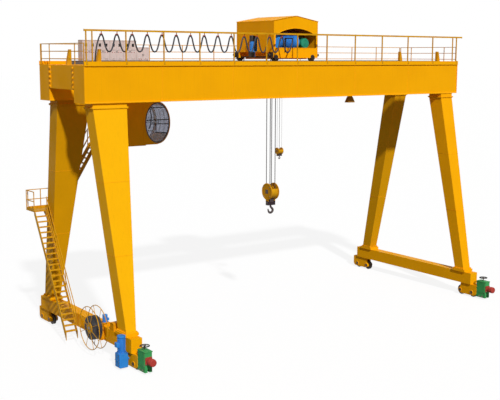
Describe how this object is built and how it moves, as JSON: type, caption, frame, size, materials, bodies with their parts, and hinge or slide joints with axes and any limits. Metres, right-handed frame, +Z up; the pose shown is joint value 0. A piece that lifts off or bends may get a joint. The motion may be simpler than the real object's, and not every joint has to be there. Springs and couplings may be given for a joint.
{
  "type": "gantry crane",
  "caption": "Double-girder gantry crane on rail bogies, with tapered box legs, a hooded hoist trolley, main and auxiliary hooks, a hanging cab, stairs, a cable reel and a festoon.",
  "frame": {"origin": "on the ground line of the wheels, midway between the two rails and midway between the girders", "axes": "+X along the span, +Y along the rails towards the cab's side, +Z up"},
  "size_m": [26.32, 12.4, 17.0899],
  "materials": {
    "yellow_paint": "semi-gloss",
    "ochre_paint": "semi-gloss",
    "orange_paint": "semi-gloss",
    "blue_paint": "semi-gloss",
    "green_paint": "semi-gloss",
    "red_rubber": "matte",
    "black_cable": "matte",
    "grey_cabinet": "satin",
    "tinted_glass": "clear",
    "dark_forging": "matte",
    "wheel_steel": "matte",
    "rail_steel": "worn",
    "wire_rope": "greased",
    "dark_lamp": "satin"
  },
  "bodies": {
    "portal": {"buffers": "red_rubber", "cab_glass": "tinted_glass", "cab_shell": "yellow_paint", "control_cabinets": "grey_cabinet", "end_beams": "yellow_paint", "end_railings": "yellow_paint", "end_stops": "orange_paint", "festoon_cable": "black_cable", "floodlight": "dark_lamp", "front_girder": "yellow_paint", "front_left_leg": "yellow_paint", "front_railing": "yellow_paint", "front_right_leg": "yellow_paint", "landing_railings": "yellow_paint", "landings": "yellow_paint", "left_bogies": "yellow_paint", "lower_stair_sides": "yellow_paint", "lower_stair_treads": "yellow_paint", "rail_clamps": "green_paint", "rear_girder": "yellow_paint", "rear_left_leg": "yellow_paint", "rear_railing": "yellow_paint", "rear_right_leg": "yellow_paint", "reel_drive": "orange_paint", "right_bogies": "yellow_paint", "sill_beams": "yellow_paint", "travel_drive": "blue_paint", "trolley_rails": "rail_steel", "upper_stair_sides": "yellow_paint", "upper_stair_treads": "yellow_paint"},
    "trolley": {"trolley_frame": "yellow_paint", "trolley_hood": "yellow_paint", "main_winch": "blue_paint", "aux_winch": "green_paint", "trolley_drive": "blue_paint", "main_ropes": "wire_rope", "aux_ropes": "wire_rope"},
    "main_block": {"main_hook_block": "ochre_paint"},
    "main_hook": {"main_hook": "dark_forging"},
    "aux_block": {"aux_hook_block": "ochre_paint"},
    "aux_hook": {"aux_hook": "dark_forging"},
    "reel": {"cable_reel": "yellow_paint", "reel_cable": "black_cable"},
    "left_wheelset": {"left_trolley_wheelset": "wheel_steel"},
    "right_wheelset": {"right_trolley_wheelset": "wheel_steel"},
    "left_handwheel": {"left_handwheel": "wheel_steel"},
    "right_handwheel": {"right_handwheel": "wheel_steel"},
    "front_left_inner_wheel": {"front_left_inner_wheel": "wheel_steel"},
    "front_left_outer_wheel": {"front_left_outer_wheel": "wheel_steel"},
    "front_right_inner_wheel": {"front_right_inner_wheel": "wheel_steel"},
    "front_right_outer_wheel": {"front_right_outer_wheel": "wheel_steel"},
    "rear_left_inner_wheel": {"rear_left_inner_wheel": "wheel_steel"},
    "rear_left_outer_wheel": {"rear_left_outer_wheel": "wheel_steel"},
    "rear_right_inner_wheel": {"rear_right_inner_wheel": "wheel_steel"},
    "rear_right_outer_wheel": {"rear_right_outer_wheel": "wheel_steel"}
  },
  "joints": [
    {"name": "trolley_travel", "type": "slide", "parent": "portal", "child": "trolley", "axis": [1, 0, 0], "range_m": [-10.15, 9.7], "deforming": ["festoon_cable"]},
    {"name": "main_hoist", "type": "slide", "parent": "trolley", "child": "main_block", "axis": [0, 0, 1], "range_m": [-5.45, 4.8], "deforming": ["main_ropes"]},
    {"name": "aux_hoist", "type": "slide", "parent": "trolley", "child": "aux_block", "axis": [0, 0, 1], "range_m": [-8.65, 2.7], "deforming": ["aux_ropes"]},
    {"name": "main_hook_swivel", "type": "hinge", "parent": "main_block", "child": "main_hook", "pos_m": [-0.05, 0, 6.3], "axis": [0, 0, 1], "continuous": true},
    {"name": "aux_hook_swivel", "type": "hinge", "parent": "aux_block", "child": "aux_hook", "pos_m": [0.57, 0, 9.1], "axis": [0, 0, 1], "continuous": true},
    {"name": "reel_spin", "type": "hinge", "parent": "portal", "child": "reel", "pos_m": [-12.765, -2.21, 1.48], "axis": [1, 0, 0], "continuous": true},
    {"name": "left_clamp_screw", "type": "hinge", "parent": "portal", "child": "left_handwheel", "pos_m": [-12, -5.96, 1.35], "axis": [0, 0, 1], "continuous": true},
    {"name": "right_clamp_screw", "type": "hinge", "parent": "portal", "child": "right_handwheel", "pos_m": [12, -5.96, 1.35], "axis": [0, 0, 1], "continuous": true},
    {"name": "left_wheelset_roll", "type": "hinge", "parent": "trolley", "child": "left_wheelset", "pos_m": [-1.09, 0, 14.8003], "axis": [0, 1, 0], "range_deg": [-3000, 3000]},
    {"name": "right_wheelset_roll", "type": "hinge", "parent": "trolley", "child": "right_wheelset", "pos_m": [1.53, 0, 14.8003], "axis": [0, 1, 0], "range_deg": [-3000, 3000]},
    {"name": "front_left_outer_roll", "type": "hinge", "parent": "portal", "child": "front_left_outer_wheel", "pos_m": [-12, -5.2435, 0.3], "axis": [1, 0, 0], "continuous": true},
    {"name": "front_left_inner_roll", "type": "hinge", "parent": "portal", "child": "front_left_inner_wheel", "pos_m": [-12, -4.3165, 0.3], "axis": [1, 0, 0], "continuous": true},
    {"name": "front_right_outer_roll", "type": "hinge", "parent": "portal", "child": "front_right_outer_wheel", "pos_m": [12, -5.2435, 0.3], "axis": [1, 0, 0], "continuous": true},
    {"name": "front_right_inner_roll", "type": "hinge", "parent": "portal", "child": "front_right_inner_wheel", "pos_m": [12, -4.3165, 0.3], "axis": [1, 0, 0], "continuous": true},
    {"name": "rear_left_outer_roll", "type": "hinge", "parent": "portal", "child": "rear_left_outer_wheel", "pos_m": [-12, 5.2435, 0.3], "axis": [1, 0, 0], "continuous": true},
    {"name": "rear_left_inner_roll", "type": "hinge", "parent": "portal", "child": "rear_left_inner_wheel", "pos_m": [-12, 4.3165, 0.3], "axis": [1, 0, 0], "continuous": true},
    {"name": "rear_right_outer_roll", "type": "hinge", "parent": "portal", "child": "rear_right_outer_wheel", "pos_m": [12, 5.2435, 0.3], "axis": [1, 0, 0], "continuous": true},
    {"name": "rear_right_inner_roll", "type": "hinge", "parent": "portal", "child": "rear_right_inner_wheel", "pos_m": [12, 4.3165, 0.3], "axis": [1, 0, 0], "continuous": true}
  ],
  "couplings": [
    {"joint": "left_wheelset_roll", "follows": "trolley_travel", "rad_per_m": 5},
    {"joint": "right_wheelset_roll", "follows": "trolley_travel", "rad_per_m": 5}
  ]
}
